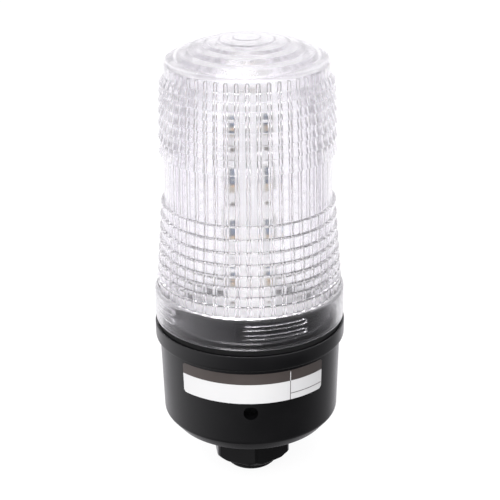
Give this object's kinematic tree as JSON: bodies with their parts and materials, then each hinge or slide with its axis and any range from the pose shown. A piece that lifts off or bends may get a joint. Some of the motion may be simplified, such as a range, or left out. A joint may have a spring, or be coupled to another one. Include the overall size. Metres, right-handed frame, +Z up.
{
  "type": "signal light",
  "caption": "Upright signal light with a clear ringed bayonet lens over an LED pillar, on a black cup with a hollow threaded stud and hexagon nut.",
  "frame": {"origin": "middle of the flat seat under the cup, where the axis of the stud's cable hole crosses it", "axes": "+Z up along the light's axis towards the dome, -Y towards the side with the sound port, +X to the right when that side is seen"},
  "size_m": [0.0706, 0.0706, 0.1682],
  "materials": {
    "cup_black": "satin moulding",
    "clear_lens": "clear, polished",
    "gasket_rubber": "matt",
    "nut_black": "satin moulding",
    "white_board": "white solder mask",
    "lamp": "clear window over a die",
    "core_grey": "matt ferrite",
    "winding_tape": "taped",
    "capacitor_film": "dipped",
    "epoxy_black": "moulded",
    "fuse_brown": "moulded",
    "capacitor_sleeve": "shrunk sleeve",
    "terminal_green": "moulded"
  },
  "bodies": {
    "base": {"housing": "cup_black", "lens_gasket": "gasket_rubber", "main_board": "white_board", "pillar_cap": "white_board", "led_board_front": "white_board", "led_board_right": "white_board", "led_board_rear": "white_board", "led_board_left": "white_board", "leds_front": "lamp", "leds_right": "lamp", "leds_rear": "lamp", "leds_left": "lamp", "leds_top": "lamp", "transformer_core": "core_grey", "transformer_winding": "winding_tape", "mains_capacitor": "capacitor_film", "bridge_rectifier": "epoxy_black", "line_fuse": "fuse_brown", "driver_chip": "epoxy_black", "output_capacitor": "capacitor_sleeve", "terminal_block": "terminal_green", "sounder": "epoxy_black"},
    "lens": {"lens": "clear_lens"},
    "nut": {"mounting_nut": "nut_black"}
  },
  "joints": [
    {"name": "lens_turn", "type": "hinge", "parent": "base", "child": "lens", "pos_m": [0, 0, 0.0476], "axis": [0, 0, 1], "range_deg": [0, 45]},
    {"name": "nut_turn", "type": "hinge", "parent": "base", "child": "nut", "pos_m": [0, 0, -0.01075], "axis": [0, 0, 1], "continuous": true}
  ]
}
